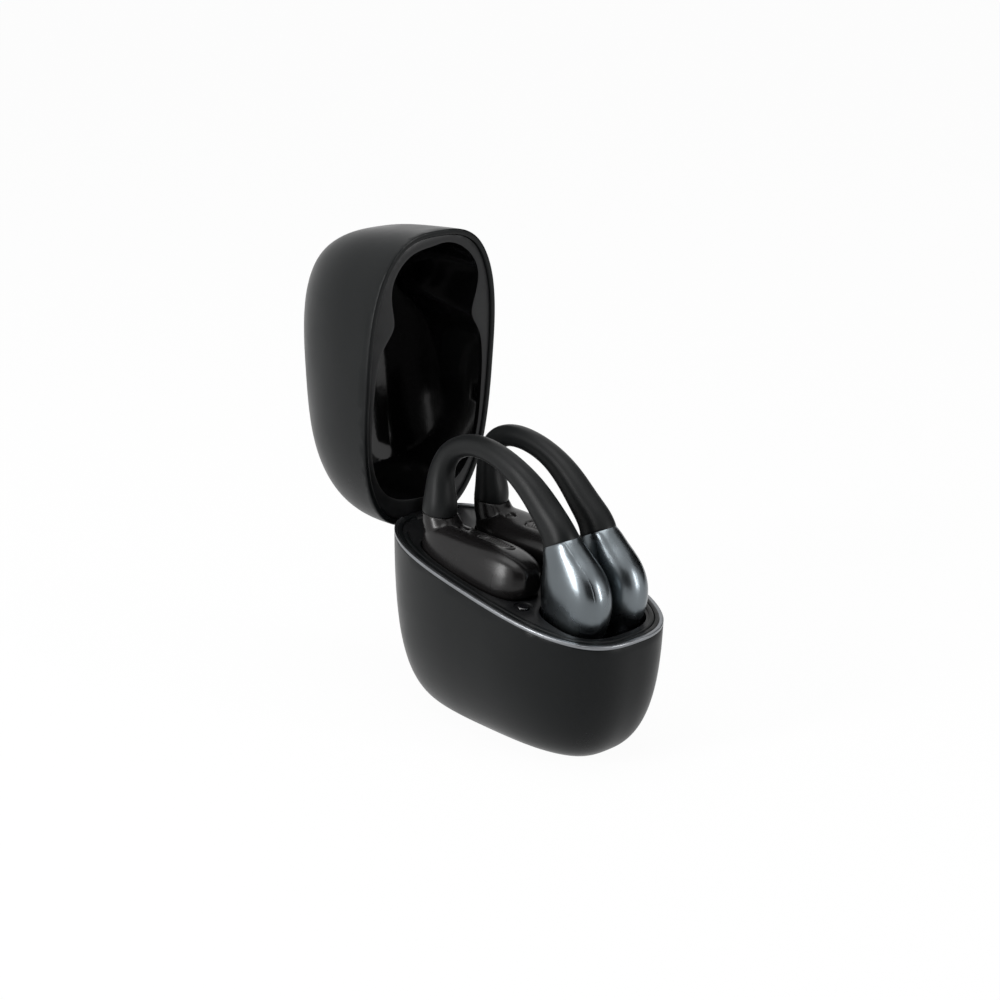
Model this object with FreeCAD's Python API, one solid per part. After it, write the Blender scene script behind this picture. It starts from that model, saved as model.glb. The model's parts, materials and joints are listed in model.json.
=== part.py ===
"""Pair of open-ear hook earbuds standing in an open charging case.

Millimetres. +Z is up, +Y points to the lid hinge, -Y to the front of the case.
The origin is the centre of the flat foot that the case stands on.
Every lid piece is modelled with the lid closed and then swung open about the hinge pin.
"""
import FreeCAD
import Part
import math
import os

V = FreeCAD.Vector

# ---------------------------------------------------------------- case outline
case_half_width = 17.9
case_half_length = 33.0
outline_power = 2.87
closed_height = 67.0
widest_height = 39.0
foot_trim = 0.25
crown_trim = 0.12
bottom_power = 3.1
bottom_round = {"hinge": 14.6, "front": 16.9, "side": 15.0}
top_power = 2.55
top_round = {"hinge": 25.5, "front": 18.3, "side": 15.8}
seam_height = 34.6
seam_tilt = 10.26
seam_gap = 0.15
fit = 0.1

# ---------------------------------------------------------------- case walls and trim
base_wall = 1.6
lid_wall = 1.2
trim_drop = 0.15
trim_height = 0.7
trim_depth = 0.8
liner_wall = 0.7
flange_setback = 0.4
flange_thickness = 1.3
# right half of the hollow's outline seen square to the seam: front lobe, waist, wide rear lobe
hollow_outline = [(0.0, -30.3), (7.4, -28.6), (11.9, -22.5), (11.2, -16.2), (10.9, -13.6), (13.1, -9.6),
                  (14.7, -4.5), (15.3, 6.0), (14.6, 16.5), (10.4, 24.6), (0.0, 27.6)]

# ---------------------------------------------------------------- hinge
hinge_inset = 1.2
hinge_drop = 2.18
lid_angle = 93.7
pin_radius = 0.6
pin_clearance = 0.05
pin_half_length = 6.7
ear_radius = 1.6
ear_outer = 7.0
knuckle_half = 3.8
knuckle_radius = 1.45
knuckle_side_gap = 0.3
arm_height = 6.5
arm_thickness = 1.5
arm_web = 0.8
arm_back_gap = 0.6
notch_front = 1.2
notch_floor = 0.4

# ---------------------------------------------------------------- cradle tray
deck_drop = 0.35
deck_thickness = 1.4
pocket_clearance = 0.35
pocket_wall = 0.9
front_pocket_gap = (1.05, 0.6)
front_pocket_shift = 0.3
front_pocket_power = 2.7
front_floor_gap = 0.3
front_floor_thickness = 1.0
tray_hinge_gap = 0.6

# ---------------------------------------------------------------- earbud, left one
pod_wall = 0.9
speaker_centre = V(-7.7, 5.6, 36.2)
speaker_half_length = 16.2
speaker_half = (6.15, 6.1)
speaker_power = 3.0
speaker_end_power = 2.7
speaker_face_angle = 80.0
speaker_tail_rise = 2.6
cover_offset = 2.0
grille_length = 10.0
grille_width = 3.2
grille_depth = 0.5
grille_recess = 0.25
grille_ledge = 0.6
grille_shift = -4.0
grille_slots_count = 7
grille_slot_width = 0.45
grille_slot_margin = 0.45
grille_slot_angle = 25.0
microphone_radius = 0.75
microphone_straight = 1.0
microphone_depth = 0.3
microphone_shift = 6.4
driver_radius = 4.7
driver_thickness = 3.4
control_board_size = (7.0, 9.0, 0.8)
control_board_shift = 2.2
control_board_sink = 1.2

# y, z, half thickness in the plane of the hook, half thickness across it, x
hook_stations = [
    (19.0, 44.7, 3.8, 3.6, -7.4),
    (18.9, 48.4, 3.5, 3.3, -7.3),
    (18.9, 52.5, 2.9, 2.8, -7.0),
    (16.5, 58.0, 2.45, 2.4, -6.4),
    (11.3, 60.7, 2.35, 2.35, -5.8),
    (5.3, 60.9, 2.35, 2.35, -5.6),
    (-1.8, 58.9, 2.55, 2.45, -5.6),
    (-8.0, 55.1, 3.0, 2.8, -5.4),
    (-12.5, 51.0, 3.4, 3.05, -5.3),
]
hook_power = 2.15
# y, z, half length, half width of the neck that stands on the speaker pod under the hook
neck_stations = [
    (16.2, 38.6, 5.2, 4.6),
    (17.6, 41.4, 4.6, 4.2),
    (18.7, 43.6, 4.0, 3.8),
]
wire_radius = 0.5
wire_tail = 1.4

# y, z, half length, half width, tilt of the section in degrees
battery_stations = [
    (-16.3, 46.1, 4.25, 3.4, 25.0),
    (-17.95, 43.4, 5.6, 4.0, 18.0),
    (-19.7, 40.4, 7.4, 4.5, 9.0),
    (-20.5, 37.4, 8.3, 4.75, 3.0),
    (-20.6, 34.0, 8.4, 4.75, 0.0),
    (-20.4, 31.0, 7.9, 4.6, 0.0),
    (-20.2, 28.2, 6.9, 4.2, 0.0),
    (-20.1, 26.0, 5.5, 3.4, 0.0),
    (-20.0, 24.8, 3.9, 2.5, 0.0),
    (-20.0, 24.25, 2.9, 1.9, 0.0),
]
battery_power = 2.5
battery_pod_x = -5.2
parting_shift = 2.3
cell_radius = 3.3
cell_length = 11.5
cell_bottom = 28.6
contact_radius = 0.7
contact_thickness = 0.6
contact_spacing = 3.6
bud_magnet_radius = 1.3
bud_magnet_thickness = 1.2

# ---------------------------------------------------------------- parts inside the case
board_bottom = 12.4
board_thickness = 1.0
board_half = (12.2, 26.5)
board_power = 2.6
boss_places = [(9.6, -19.0), (-9.6, -19.0), (9.6, 20.5), (-9.6, 20.5)]
boss_radius = 1.7
screw_radius = 0.5
screw_head_radius = 1.0
screw_length = 3.5
screw_head = 0.6
cell_block = (15.0, 26.0, 8.2)
cell_pad = (9.0, 22.0, 1.3)
cell_centre_y = 1.0
plunger_radius = 0.45
plunger_gap = 0.05
plunger_hole_gap = 0.15
plunger_rounding = 0.3
spring_room = 2.5
pad_gap = 0.08
barrel_radius = 0.8
barrel_floor = 1.0
block_margin = (2.0, 1.4)
usb_half = (4.47, 1.6)
usb_length = 7.3
usb_wall = 0.3
usb_back = 1.0
usb_setback = 0.6
usb_port_clearance = 0.2
tongue_width = 6.6
tongue_thickness = 0.7
button_place = (-10.8, -11.0)
button_radius = 1.2
button_gap = 0.12
button_rise = 0.1
button_rounding = 0.45
button_head_extra = 0.6
button_ring_radius = 2.0
button_ring_depth = 0.35
button_stem_radius = 0.65
switch_size = (3.0, 3.0, 1.4)
switch_nub = 0.2
switch_nub_radius = 0.8
switch_gap = 0.5
magnet_place = (13.4, -19.5)
magnet_radius = 1.0
magnet_thickness = 2.0
magnet_gap = 0.05

reach = 120.0
ring_points = 20


# ---------------------------------------------------------------- general shapes
def ring(centre, u, v, half_u, half_v, power, half_v_back=None):
    """Closed smooth outline about a centre, its axes along u and v."""
    points = []
    for step in range(ring_points):
        turn = 2.0 * math.pi * step / ring_points
        across = math.cos(turn)
        along = math.sin(turn)
        size = (abs(across) ** power + abs(along) ** power) ** (-1.0 / power)
        reach_v = half_v_back if half_v_back and along < 0 else half_v
        points.append(centre + u * (half_u * across * size) + v * (reach_v * along * size))
    curve = Part.BSplineCurve()
    knots = [float(step) for step in range(ring_points + 1)]
    curve.interpolate(Points=points, PeriodicFlag=True, Parameters=knots)
    return Part.Wire(curve.toShape())


def loft(rings):
    """Solid skinned smoothly over a list of outlines."""
    return Part.makeLoft(rings, True, False)


def round_over(power, end_share):
    """Steps of a rounded edge: share of its height and share of its inset."""
    end = math.asin(end_share ** (power / 2.0))
    steps = []
    for share in (0.2, 0.4, 0.56, 0.69, 0.8, 0.89, 0.96, 1.0):
        turn = end * share
        steps.append((math.sin(turn) ** (2.0 / power), 1.0 - math.cos(turn) ** (2.0 / power)))
    return steps


def prism(half_x, half_y, power, centre_y, low, high):
    """Upright bar with a superellipse section."""
    outline = ring(V(0, centre_y, low), V(1, 0, 0), V(0, 1, 0), half_x, half_y, power)
    return Part.Face(outline).extrude(V(0, 0, high - low))


def cylinder_x(radius, low, high, centre):
    """Round bar along X between two places."""
    return Part.makeCylinder(radius, high - low, V(low, centre.y, centre.z), V(1, 0, 0))


def centred_box(size, centre_x, centre_y, low):
    """Box of a given size, centred in X and Y, standing on a height."""
    return Part.makeBox(size[0], size[1], size[2],
                        V(centre_x - size[0] / 2.0, centre_y - size[1] / 2.0, low))


# ---------------------------------------------------------------- case body
def case_body(inset):
    """Whole closed case as one pebble, every wall moved in by an inset."""
    half_width = case_half_width - inset
    half_length = case_half_length - inset
    bottom_total = widest_height + foot_trim - inset
    top_total = closed_height + crown_trim - widest_height - inset
    bottom_share = (widest_height - inset) / bottom_total
    top_share = (closed_height - widest_height - inset) / top_total
    levels = [(widest_height - bottom_total * rise, share, bottom_round)
              for rise, share in reversed(round_over(bottom_power, bottom_share))]
    levels.append((widest_height, 0.0, top_round))
    levels += [(widest_height + top_total * rise, share, top_round)
               for rise, share in round_over(top_power, top_share)]
    rings = []
    for height, share, rounding in levels:
        rings.append(ring(V(0, 0, height), V(1, 0, 0), V(0, 1, 0),
                          half_width - share * rounding["side"],
                          half_length - share * rounding["hinge"],
                          outline_power,
                          half_length - share * rounding["front"]))
    return loft(rings)


def seam_slab(low, high, half_x=reach):
    """Slab parallel to the seam, between two distances measured square to it."""
    slab = Part.makeBox(2 * half_x, 2 * reach, high - low, V(-half_x, -reach, low))
    slab.rotate(V(0, 0, 0), V(1, 0, 0), seam_tilt)
    slab.translate(V(0, 0, seam_height))
    return slab


def seam_normal():
    """Direction square to the seam, pointing into the lid."""
    tilt = math.radians(seam_tilt)
    return V(0, -math.sin(tilt), math.cos(tilt))


def on_seam(x, y, above=0.0):
    """Point over x and y that lies a distance above the seam."""
    tilt = math.radians(seam_tilt)
    return V(x, y, seam_height + y * math.tan(tilt) + above / math.cos(tilt))


def hinge_axis():
    """Point on the hinge pin's axis at the middle of the case."""
    y = case_half_length - hinge_inset
    return on_seam(0, y) - V(0, 0, hinge_drop)


def swing_open(shape):
    """Swing a piece of the closed lid to the open stop."""
    opened = shape.copy()
    opened.rotate(hinge_axis(), V(1, 0, 0), -lid_angle)
    return opened


# ---------------------------------------------------------------- case shells
def base_shell(outer, inner):
    """Lower shell with the trim groove, rounded rear rim, hinge ears, bosses and socket port."""
    axis = hinge_axis()
    shell = outer.cut(inner).common(seam_slab(-reach, -seam_gap))
    shell = shell.cut(trim_ring(outer))
    rounding = Part.makeBox(2 * reach, reach, reach, V(-reach, axis.y, axis.z))
    shell = shell.cut(rounding)
    ear_low = knuckle_half + knuckle_side_gap
    rear_rim = cylinder_x(ear_radius, -ear_outer, ear_outer, axis)
    shell = shell.fuse(rear_rim)
    notch = Part.makeBox(2 * ear_low, reach, reach,
                         V(-ear_low, axis.y - ear_radius - notch_front,
                           axis.z - knuckle_radius - notch_floor))
    shell = shell.cut(notch)
    shell = shell.cut(cylinder_x(pin_radius, -pin_half_length, pin_half_length, axis))
    bosses = [Part.makeCylinder(boss_radius, board_bottom, V(x, y, 0)) for x, y in boss_places]
    floor = case_body(base_wall / 2.0)
    shell = shell.fuse([boss.common(floor) for boss in bosses])
    for x, y in boss_places:
        shell = shell.cut(Part.makeCylinder(screw_radius, screw_length,
                                            V(x, y, board_bottom - screw_length + board_thickness)))
    port = socket_outline(usb_port_clearance, 0, 2 * reach)
    return shell.cut(port)


def trim_ring(outer):
    """Metal ring let into the outside of the base just under its rim."""
    core = case_body(trim_depth)
    band = outer.cut(core).common(seam_slab(-trim_drop - trim_height, -trim_drop))
    half = ear_outer + fit
    return band.cut(Part.makeBox(2 * half, reach, reach, V(-half, 0, 0)))


def hourglass(grow, low, high):
    """Bar with the outline of the lid's hollow, every side moved out by a distance."""
    points = [V(x, y, low) for x, y in hollow_outline]
    points += [V(-x, y, low) for x, y in reversed(hollow_outline[1:-1])]
    grown = []
    for index, point in enumerate(points):
        along = points[(index + 1) % len(points)] - points[index - 1]
        grown.append(point + V(along.y, -along.x, 0).normalize() * grow)
    curve = Part.BSplineCurve()
    curve.interpolate(Points=grown, PeriodicFlag=True)
    bar = Part.Face(Part.Wire(curve.toShape())).extrude(V(0, 0, high - low))
    bar.rotate(V(0, 0, 0), V(1, 0, 0), seam_tilt)
    bar.translate(V(0, 0, seam_height))
    return bar


def lid_shell(outer):
    """Upper shell of the case."""
    return outer.cut(case_body(lid_wall)).common(seam_slab(0.0, reach))


def lid_liner():
    """Liner of the lid: a flange round the mouth and the walls of the hollow."""
    envelope = case_body(lid_wall + fit)
    flange = envelope.common(seam_slab(flange_setback, flange_setback + flange_thickness))
    tub = envelope.common(hourglass(liner_wall, flange_setback, reach))
    hollow = case_body(lid_wall + fit + liner_wall).common(hourglass(0.0, -1.0, reach))
    liner = flange.fuse(tub).cut(hollow)
    return liner.cut(arm_space(fit)).cut(rim_magnets(lid_magnet_level()))


def arm_space(clearance):
    """Room for the lid's hinge arm."""
    axis = hinge_axis()
    half = knuckle_half + clearance
    return Part.makeBox(2 * half, arm_thickness + 2 * clearance + arm_back_gap,
                        arm_height + 2 * clearance,
                        V(-half, axis.y - arm_thickness - clearance, axis.z - clearance))


def lid_hinge_arm():
    """Knuckle round the pin with a plate that is fixed inside the lid's rear wall."""
    axis = hinge_axis()
    knuckle = cylinder_x(knuckle_radius, -knuckle_half, knuckle_half, axis)
    plate = Part.makeBox(2 * knuckle_half, arm_thickness, arm_height,
                         V(-knuckle_half, axis.y - arm_thickness, axis.z))
    plate = plate.common(case_body(lid_wall + fit / 2.0))
    web = Part.makeBox(2 * knuckle_half, knuckle_radius + arm_web, hinge_drop - fit,
                       V(-knuckle_half, axis.y - knuckle_radius, axis.z))
    web = web.common(case_body(0.0)).common(seam_slab(-reach, 0.0))
    arm = knuckle.fuse([plate, web])
    return arm.cut(cylinder_x(pin_radius + pin_clearance, -knuckle_half, knuckle_half, axis))


def hinge_pin():
    """Steel pin pressed into the ears of the base."""
    return cylinder_x(pin_radius, -pin_half_length, pin_half_length, hinge_axis())


def lid_magnet_level():
    """Height over the seam of the underside of the lid's magnets."""
    return flange_setback + flange_thickness + magnet_gap


def rim_magnets(above):
    """Pair of disc magnets beside the front pocket, standing a distance above the seam."""
    x, y = magnet_place
    discs = [Part.makeCylinder(magnet_radius, magnet_thickness, on_seam(side * x, y, above), seam_normal())
             for side in (-1, 1)]
    return Part.makeCompound(discs)


# ---------------------------------------------------------------- earbud shapes
def speaker_body(grow=0.0):
    """Speaker pod of the left earbud, a rounded bar with a face turned up and inwards."""
    turn = math.radians(speaker_face_angle)
    face = V(math.cos(turn), 0, math.sin(turn))
    side = V(-math.sin(turn), 0, math.cos(turn))
    half_length = speaker_half_length + grow
    shares = (-0.985, -0.94, -0.86, -0.74, -0.56, -0.3, 0.0, 0.3, 0.56, 0.74, 0.86, 0.94, 0.985)
    rings = []
    for share in shares:
        size = (1.0 - abs(share) ** speaker_end_power) ** (1.0 / speaker_end_power)
        centre = speaker_centre + V(0, half_length * share, 0)
        centre.z += speaker_tail_rise * max(0.0, share) ** 2
        rings.append(ring(centre, side, face, (speaker_half[0] + grow) * size,
                          (speaker_half[1] + grow) * size, speaker_power))
    return loft(rings)


def face_place(shift, depth):
    """Point under the speaker's upper face, a distance from the pod's axis."""
    turn = math.radians(speaker_face_angle)
    face = V(math.cos(turn), 0, math.sin(turn))
    return speaker_centre + V(0, shift, 0) + face * depth


def face_direction():
    """Outward direction of the speaker's upper face."""
    turn = math.radians(speaker_face_angle)
    return V(math.cos(turn), 0, math.sin(turn))


def face_box(low, high):
    """Half space over the speaker pod, between two distances from its axis."""
    box = Part.makeBox(reach, reach, high - low, V(-reach / 2.0, -reach / 2.0, low))
    box.rotate(V(0, 0, 0), V(0, 1, 0), 90.0 - speaker_face_angle)
    box.translate(speaker_centre)
    return box


def pill(length, width, low, high, shift):
    """Slot-shaped bar standing on the speaker's face, long along the pod."""
    straight = (length - width) / 2.0
    ends = [Part.makeCylinder(width / 2.0, high - low, V(0, y, low)) for y in (-straight, straight)]
    middle = Part.makeBox(width, 2 * straight, high - low, V(-width / 2.0, -straight, low))
    bar = middle.fuse(ends).removeSplitter()
    bar.rotate(V(0, 0, 0), V(0, 1, 0), 90.0 - speaker_face_angle)
    bar.translate(speaker_centre + V(0, shift, 0))
    return bar


def pod_top():
    """Middle of the battery pod's top, where the hook ends."""
    return V(battery_pod_x, battery_stations[0][0], battery_stations[0][1])


def hook_rings(half_sizes, stations):
    """Outlines square to the hook's centre line, one at each station."""
    line = Part.BSplineCurve()
    line.interpolate(Points=[V(x, y, z) for y, z, _, _, x in hook_stations] + [pod_top()])
    rings = []
    for station in stations:
        y, z, in_plane, across, x = station
        centre = V(x, y, z)
        tangent = V(*line.tangent(line.parameter(centre))[0])
        wide = V(1, 0, 0) - tangent * tangent.x
        wide.normalize()
        tall = tangent.cross(wide)
        size = half_sizes(in_plane, across)
        rings.append(ring(centre, wide, tall, size[1], size[0], hook_power))
    return rings


def hook_body():
    """Outside of the soft ear hook, ending square to the battery pod's top."""
    rings = hook_rings(lambda in_plane, across: (in_plane, across), hook_stations)
    rings.append(battery_ring(battery_stations[0], 0.0, hook_power))
    return loft(rings)


def hook_wire():
    """Springy wire inside the hook, from the speaker pod to the battery pod."""
    rings = hook_rings(lambda in_plane, across: (wire_radius, wire_radius), hook_stations)
    tilt = battery_stations[0][4]
    turn = math.radians(tilt)
    for centre in (pod_top(), pod_top() - battery_normal(tilt) * wire_tail):
        rings.append(ring(centre, V(1, 0, 0), V(0, math.cos(turn), -math.sin(turn)),
                          wire_radius, wire_radius, 2.0))
    return loft(rings)


def speaker_neck():
    """Short neck that rises from the tail of the speaker pod to the end of the hook."""
    x = hook_stations[0][4]
    rings = hook_rings(lambda in_plane, across: (in_plane, across), hook_stations[:1])
    lower = [ring(V(x, y, z), V(1, 0, 0), V(0, 1, 0), half_width, half_length, hook_power)
             for y, z, half_length, half_width in neck_stations]
    return loft(lower + rings)


def battery_normal(tilt):
    """Direction square to a tilted section of the battery pod, pointing up."""
    turn = math.radians(tilt)
    return V(0, math.sin(turn), math.cos(turn))


def battery_ring(station, grow, power):
    """One section of the battery pod."""
    y, z, half_length, half_width, tilt = station
    turn = math.radians(tilt)
    return ring(V(battery_pod_x, y, z), V(1, 0, 0), V(0, math.cos(turn), -math.sin(turn)),
                half_width + grow, half_length + grow, power)


def battery_body(grow=0.0):
    """Battery pod of the left earbud."""
    rings = []
    last = len(battery_stations) - 1
    for index, station in enumerate(battery_stations):
        y, z, half_length, half_width, tilt = station
        power = hook_power + (battery_power - hook_power) * min(1.0, index / 3.0)
        if index == 0:
            shift = battery_normal(tilt) * grow
            y, z = y + shift.y, z + shift.z
        if index == last:
            z -= grow
        rings.append(battery_ring((y, z, half_length, half_width, tilt), grow, power))
    return loft(rings)


def shell_pieces(body, hollow, cutter, holes):
    """Split a hollow pod in two with a cutter: the part inside it and the rest."""
    skin = body.cut(hollow)
    for hole in holes:
        skin = skin.cut(hole)
    return skin.common(cutter), skin.cut(cutter)


# ---------------------------------------------------------------- earbud pieces
def earbud():
    """Every piece of the left earbud, by name."""
    speaker = speaker_body()
    speaker_hollow = speaker_body(-pod_wall)
    battery = battery_body()
    battery_hollow = battery_body(-pod_wall)
    wire = hook_wire()

    grille_top = speaker_half[1] - grille_recess
    grille_seat = pill(grille_length, grille_width, grille_top - grille_depth, 2 * grille_top, grille_shift)
    grille_port = pill(grille_length - 2 * grille_ledge, grille_width - 2 * grille_ledge,
                       0.0, 2 * grille_top, grille_shift)
    mic_length = 2 * microphone_radius + microphone_straight
    mic_seat = pill(mic_length, 2 * microphone_radius,
                    grille_top - microphone_depth, 2 * grille_top, microphone_shift)
    mic_port = Part.makeCylinder(microphone_radius / 2.0, 2 * grille_top,
                                 face_place(microphone_shift, 0.0), face_direction())
    cover, housing = shell_pieces(speaker, speaker_hollow, face_box(cover_offset, reach),
                                  [wire, grille_seat, grille_port, mic_seat, mic_port])

    grille = pill(grille_length, grille_width, grille_top - grille_depth, grille_top, grille_shift)
    grille = grille.cut(grille_slots(grille_top))
    mic_mesh = pill(mic_length, 2 * microphone_radius,
                    grille_top - microphone_depth, grille_top, microphone_shift)

    neck = speaker_neck()
    cover = cover.cut(neck)
    for hole in (speaker_hollow, wire, mic_seat, mic_port):
        neck = neck.cut(hole)
    housing = housing.fuse(neck)

    contacts = contact_pads()
    parting = Part.makeBox(reach, reach, reach,
                           V(battery_pod_x - parting_shift - reach, -reach / 2.0, 0))
    pod_cover, pod_shell = shell_pieces(battery, battery_hollow, parting, [wire, contacts])

    sleeve = hook_body().cut(wire)
    y, z = battery_stations[4][0], cell_bottom
    cell = Part.makeCylinder(cell_radius, cell_length, V(battery_pod_x, y, z))
    driver = Part.makeCylinder(driver_radius, driver_thickness,
                               face_place(grille_shift, cover_offset - driver_thickness),
                               face_direction())
    board = Part.makeBox(*control_board_size, V(-control_board_size[0] / 2.0, 0, 0))
    board.rotate(V(0, 0, 0), V(0, 1, 0), 90.0 - speaker_face_angle)
    board.translate(face_place(control_board_shift, cover_offset - control_board_sink))
    magnet = Part.makeCylinder(bud_magnet_radius, bud_magnet_thickness,
                               V(battery_pod_x, y, z - bud_magnet_thickness))
    return {
        "speaker_housing": housing,
        "speaker_cover": cover,
        "speaker_grille": grille,
        "microphone_mesh": mic_mesh,
        "speaker_driver": driver,
        "control_board": board,
        "ear_hook": sleeve,
        "hook_wire": wire,
        "battery_pod_shell": pod_shell,
        "battery_pod_cover": pod_cover,
        "battery_cell": cell,
        "charging_contacts": contacts,
        "holding_magnet": magnet,
    }


def grille_slots(top):
    """Row of slanting slots across the speaker grille."""
    slots = []
    gaps = grille_slots_count - 1
    pitch = (grille_length - grille_width) / gaps
    length = grille_width - 2 * grille_slot_margin
    for step in range(grille_slots_count):
        slot = centred_box((length, grille_slot_width, 2 * grille_depth), 0, 0, top - 1.5 * grille_depth)
        slot.rotate(V(0, 0, 0), V(0, 0, 1), grille_slot_angle)
        slot.translate(V(0, (step - gaps / 2.0) * pitch, 0))
        slot.rotate(V(0, 0, 0), V(0, 1, 0), 90.0 - speaker_face_angle)
        slot.translate(speaker_centre + V(0, grille_shift, 0))
        slots.append(slot)
    return Part.makeCompound(slots)


def contact_pads():
    """Two round charging pads set flush in the bottom of the battery pod."""
    y, z = battery_stations[-1][0], battery_stations[-1][1]
    return Part.makeCompound([
        Part.makeCylinder(contact_radius, contact_thickness,
                          V(battery_pod_x, y + side * contact_spacing / 2.0, z))
        for side in (-1, 1)])


# ---------------------------------------------------------------- cradle tray
def front_pocket(grow, low):
    """Upright bar that fills the pocket of the two battery pods."""
    y, _, half_length, half_width, _ = max(battery_stations, key=lambda station: station[2])
    return prism(abs(battery_pod_x) + half_width + front_pocket_gap[0] + grow,
                 half_length + front_pocket_gap[1] + grow, front_pocket_power,
                 y + front_pocket_shift, low, closed_height)


def front_pocket_floor():
    """Height of the floor under the battery pods."""
    return battery_stations[-1][1] - front_floor_gap


def both_sides(shape):
    """A shape and its mirror image on the other side of the case."""
    return [shape, shape.mirror(V(0, 0, 0), V(1, 0, 0))]


def cradle_tray():
    """Deck with the pockets that hold the earbuds."""
    inside = case_body(base_wall + fit)
    deck = inside.common(seam_slab(-deck_drop - deck_thickness, -deck_drop))
    tray_side = seam_slab(-reach, -deck_drop)
    cups = [cup.common(tray_side) for cup in both_sides(speaker_body(pocket_clearance + pocket_wall))]
    floor = front_pocket_floor()
    tub = front_pocket(pocket_wall, floor - front_floor_thickness).common(tray_side)
    tray = deck.fuse(cups + [tub]).common(inside)
    for pod in both_sides(speaker_body(pocket_clearance)):
        tray = tray.cut(pod)
    tray = tray.cut(front_pocket(0.0, floor))
    axis = hinge_axis()
    half = ear_outer + tray_hinge_gap
    tray = tray.cut(Part.makeBox(2 * half, reach, reach,
                                 V(-half, axis.y - ear_radius - tray_hinge_gap, axis.z - reach / 2.0)))
    for x, y in pin_places():
        tray = tray.cut(Part.makeCylinder(plunger_radius + plunger_hole_gap, 4 * front_floor_thickness,
                                          V(x, y, floor - 2 * front_floor_thickness)))
    ring_top = on_seam(button_place[0], button_place[1], -deck_drop - button_ring_depth)
    tray = tray.cut(Part.makeCylinder(button_ring_radius, deck_thickness, ring_top, seam_normal()))
    guide_start = ring_top - seam_normal() * seam_height / 2.0
    guide = Part.makeCylinder(button_radius + button_gap, seam_height, guide_start, seam_normal())
    return tray.cut(guide)


def button_top():
    """Middle of the button's top."""
    return on_seam(button_place[0], button_place[1], button_rise - deck_drop)


def pairing_button():
    """Domed button with a rod that reaches down to its switch."""
    top = button_top()
    normal = seam_normal()
    height = deck_thickness + button_head_extra
    head = Part.makeCylinder(button_radius, height, top - normal * height, normal)
    upper_edges = [edge for edge in head.Edges if edge.BoundBox.ZMin > top.z - height / 2.0]
    head = head.makeFillet(button_rounding, upper_edges)
    rod_length = rod_end_distance()
    rod = Part.makeCylinder(button_stem_radius, rod_length, top - normal * rod_length, normal)
    return head.fuse(rod)


def rod_end_distance():
    """Length of the button from its top to the plunger of the switch."""
    switch_top = board_bottom + board_thickness + switch_size[2] + switch_nub + switch_gap
    return (button_top().z - switch_top) / seam_normal().z


def pairing_switch():
    """Push switch on the circuit board under the button's rod."""
    end = button_top() - seam_normal() * rod_end_distance()
    low = board_bottom + board_thickness
    body = centred_box(switch_size, end.x, end.y, low)
    nub = Part.makeCylinder(switch_nub_radius, switch_nub, V(end.x, end.y, low + switch_size[2]))
    return body.fuse(nub)


# ---------------------------------------------------------------- electronics of the case
def circuit_board():
    """Main board on the four bosses of the base."""
    board = prism(board_half[0], board_half[1], board_power, 0.0, board_bottom,
                  board_bottom + board_thickness)
    for x, y in boss_places:
        board = board.cut(Part.makeCylinder(screw_radius + fit, 3 * board_thickness,
                                            V(x, y, board_bottom - board_thickness)))
    return board


def board_screws():
    """Four screws that hold the board down."""
    top = board_bottom + board_thickness
    screws = []
    for x, y in boss_places:
        shank = Part.makeCylinder(screw_radius, screw_length, V(x, y, top - screw_length))
        screws.append(shank.fuse(Part.makeCylinder(screw_head_radius, screw_head, V(x, y, top))))
    return Part.makeCompound(screws)


def socket_outline(grow, start, length):
    """Slot-shaped bar along Y with the outline of the charging socket."""
    half_width = usb_half[0] + grow
    half_height = usb_half[1] + grow
    centre_z = board_bottom + board_thickness + usb_half[1]
    straight = half_width - half_height
    ends = [Part.makeCylinder(half_height, length, V(x, start, centre_z), V(0, 1, 0))
            for x in (-straight, straight)]
    middle = Part.makeBox(2 * straight, length, 2 * half_height,
                          V(-straight, start, centre_z - half_height))
    return middle.fuse(ends).removeSplitter()


def socket_front():
    """Place of the socket's mouth along Y."""
    return case_half_length - base_wall - usb_setback


def socket_shell():
    """Metal shell of the charging socket, closed at its back."""
    start = socket_front() - usb_length
    hollow = socket_outline(-usb_wall, start + usb_back, usb_length)
    return socket_outline(0.0, start, usb_length).cut(hollow)


def socket_tongue():
    """Contact tongue in the middle of the socket."""
    centre_z = board_bottom + board_thickness + usb_half[1]
    start = socket_front() - usb_length + usb_back
    return Part.makeBox(tongue_width, usb_length - 2 * usb_back, tongue_thickness,
                        V(-tongue_width / 2.0, start, centre_z - tongue_thickness / 2.0))


def pin_places():
    """Places of the four charging pins: left rear, left front, right rear, right front."""
    y = battery_stations[-1][0]
    return [(side * battery_pod_x, y + end * contact_spacing / 2.0) for side in (1, -1) for end in (1, -1)]


def pin_block():
    """Holder for the four charging pins, between the board and the pocket floor."""
    low = board_bottom + board_thickness
    high = front_pocket_floor() - front_floor_thickness
    size = (2 * (abs(battery_pod_x) + block_margin[0]), contact_spacing + 2 * block_margin[1], high - low)
    block = centred_box(size, 0.0, battery_stations[-1][0], low)
    for x, y in pin_places():
        block = block.cut(Part.makeCylinder(barrel_radius, high - low, V(x, y, low)))
    return block


def pin_barrels():
    """Brass barrels of the four charging pins."""
    low = board_bottom + board_thickness
    height = front_pocket_floor() - front_floor_thickness - low
    barrels = []
    for x, y in pin_places():
        barrel = Part.makeCylinder(barrel_radius, height, V(x, y, low))
        bore = Part.makeCylinder(plunger_radius + plunger_gap, height, V(x, y, low + barrel_floor))
        barrels.append(barrel.cut(bore))
    return Part.makeCompound(barrels)


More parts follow.
